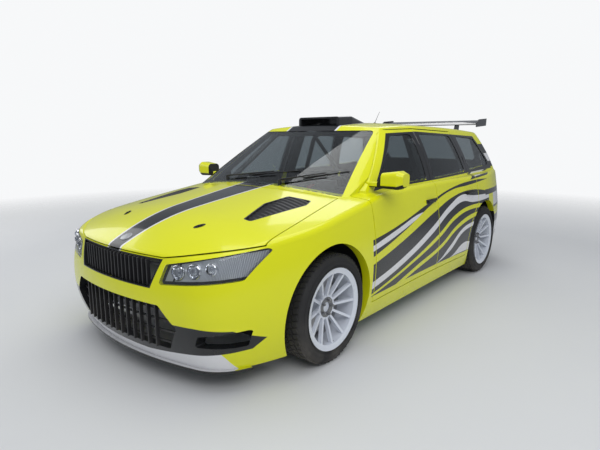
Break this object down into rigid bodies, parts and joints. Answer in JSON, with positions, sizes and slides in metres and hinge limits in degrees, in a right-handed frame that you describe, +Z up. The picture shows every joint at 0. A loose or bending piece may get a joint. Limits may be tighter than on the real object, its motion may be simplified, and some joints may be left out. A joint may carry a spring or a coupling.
{
  "type": "rally car",
  "caption": "Estate-shaped rally car with opening doors, bonnet and tailgate, steered front wheels, roof scoop, rear wing, roll cage and bucket seats",
  "frame": {"origin": "on the ground, at the middle of the bounding box in plan", "axes": "+Z up; -Y is the way the nose points; +X is the car's left side, the driver's side"},
  "size_m": [2, 4.2586, 1.4959],
  "materials": {
    "body_paint": "gloss yellow two-stage paint",
    "black_paint": "gloss black paint",
    "black_trim": "satin black moulded plastic",
    "white_trim": "gloss white moulded plastic",
    "clear_glass": "lightly tinted glass",
    "lamp_cover": "clear hard-coated cover",
    "lamp_body": "dark bezel with bright bowls",
    "tail_lamp_body": "deep red lens",
    "wheel_paint": "gloss white over cast alloy",
    "tread_rubber": "matt black rubber",
    "cage_paint": "dark grey powder coat on steel tube",
    "floor_paint": "silver grey paint over sheet steel",
    "raw_steel": "machined and pressed steel",
    "cast_alloy": "as-cast alloy",
    "cabin_trim": "matt black flocked panel",
    "bucket_shell": "gloss black moulded bucket",
    "pad_cloth": "black woven cloth",
    "grip_cover": "black suede-like cover"
  },
  "bodies": {
    "body": {"centre_console": "cabin_trim", "cowl": "black_trim", "dashboard": "cabin_trim", "driveline": "raw_steel", "engine_block": "cast_alloy", "exhaust": "raw_steel", "fixed_glass": "clear_glass", "floor_pan": "floor_paint", "front_bumper": "body_paint", "front_fenders": "body_paint", "front_splitter": "white_trim", "front_structure": "floor_paint", "grilles": "black_trim", "headlamp_lenses": "lamp_cover", "headlamps": "lamp_body", "pedals": "raw_steel", "radiator": "cast_alloy", "rear_bumper": "body_paint", "rear_diffuser": "black_trim", "rear_suspension": "raw_steel", "roll_cage": "cage_paint", "roof_panel": "body_paint", "roof_scoop": "black_trim", "seat_pads": "pad_cloth", "seats": "bucket_shell", "side_frame_left": "body_paint", "side_frame_right": "body_paint", "side_skirts": "body_paint", "spare_wheel": "tread_rubber", "tail_lamps": "tail_lamp_body", "wheelhouses": "black_trim"},
    "bonnet": {"bonnet": "body_paint", "bonnet_vents": "black_trim"},
    "tailgate": {"tailgate": "body_paint", "rear_window": "clear_glass", "rear_wing": "black_paint"},
    "door_front_left": {"door_front_left": "body_paint", "window_front_left": "clear_glass"},
    "door_front_right": {"door_front_right": "body_paint", "window_front_right": "clear_glass"},
    "door_rear_left": {"door_rear_left": "body_paint", "window_rear_left": "clear_glass"},
    "door_rear_right": {"door_rear_right": "body_paint", "window_rear_right": "clear_glass"},
    "upright_left": {"upright_left": "raw_steel"},
    "upright_right": {"upright_right": "raw_steel"},
    "wheel_front_left": {"wheel_front_left": "wheel_paint", "tyre_front_left": "tread_rubber"},
    "wheel_front_right": {"wheel_front_right": "wheel_paint", "tyre_front_right": "tread_rubber"},
    "wheel_rear_left": {"wheel_rear_left": "wheel_paint", "tyre_rear_left": "tread_rubber"},
    "wheel_rear_right": {"wheel_rear_right": "wheel_paint", "tyre_rear_right": "tread_rubber"},
    "steering_wheel": {"steering_wheel": "grip_cover"}
  },
  "joints": [
    {"name": "steer_left", "type": "hinge", "parent": "body", "child": "upright_left", "pos_m": [0.7, -1.2635, 0.185], "axis": [-0.2077, 0, 0.9782], "range_deg": [-30, 30]},
    {"name": "steer_right", "type": "hinge", "parent": "body", "child": "upright_right", "pos_m": [-0.7, -1.2635, 0.185], "axis": [0.2077, 0, 0.9782], "range_deg": [-30, 30]},
    {"name": "steering_wheel_turn", "type": "hinge", "parent": "body", "child": "steering_wheel", "pos_m": [0.375, -0.43, 0.868], "axis": [0, 0.9272, 0.3746], "range_deg": [-270, 270]},
    {"name": "spin_front_left", "type": "hinge", "parent": "upright_left", "child": "wheel_front_left", "pos_m": [0.785, -1.2635, 0.32], "axis": [1, 0, 0], "continuous": true},
    {"name": "spin_front_right", "type": "hinge", "parent": "upright_right", "child": "wheel_front_right", "pos_m": [-0.785, -1.2635, 0.32], "axis": [1, 0, 0], "continuous": true},
    {"name": "spin_rear_left", "type": "hinge", "parent": "body", "child": "wheel_rear_left", "pos_m": [0.785, 1.2065, 0.32], "axis": [1, 0, 0], "continuous": true},
    {"name": "spin_rear_right", "type": "hinge", "parent": "body", "child": "wheel_rear_right", "pos_m": [-0.785, 1.2065, 0.32], "axis": [1, 0, 0], "continuous": true},
    {"name": "door_front_left_hinge", "type": "hinge", "parent": "body", "child": "door_front_left", "pos_m": [0.897, -0.83, 0.6], "axis": [0, 0, -1], "range_deg": [0, 65]},
    {"name": "door_front_right_hinge", "type": "hinge", "parent": "body", "child": "door_front_right", "pos_m": [-0.897, -0.83, 0.6], "axis": [0, 0, 1], "range_deg": [0, 65]},
    {"name": "door_rear_left_hinge", "type": "hinge", "parent": "body", "child": "door_rear_left", "pos_m": [0.885, 0.1885, 0.6], "axis": [0, 0, -1], "range_deg": [0, 65]},
    {"name": "door_rear_right_hinge", "type": "hinge", "parent": "body", "child": "door_rear_right", "pos_m": [-0.885, 0.1885, 0.6], "axis": [0, 0, 1], "range_deg": [0, 65]},
    {"name": "bonnet_hinge", "type": "hinge", "parent": "body", "child": "bonnet", "pos_m": [0, -0.96, 0.962], "axis": [-1, 0, 0], "range_deg": [0, 55]},
    {"name": "tailgate_hinge", "type": "hinge", "parent": "body", "child": "tailgate", "pos_m": [0, 1.668, 1.375], "axis": [1, 0, 0], "range_deg": [0, 75]}
  ],
  "couplings": [
    {"joint": "steer_right", "follows": "steer_left", "ratio": 1},
    {"joint": "steering_wheel_turn", "follows": "steer_left", "ratio": 9}
  ]
}
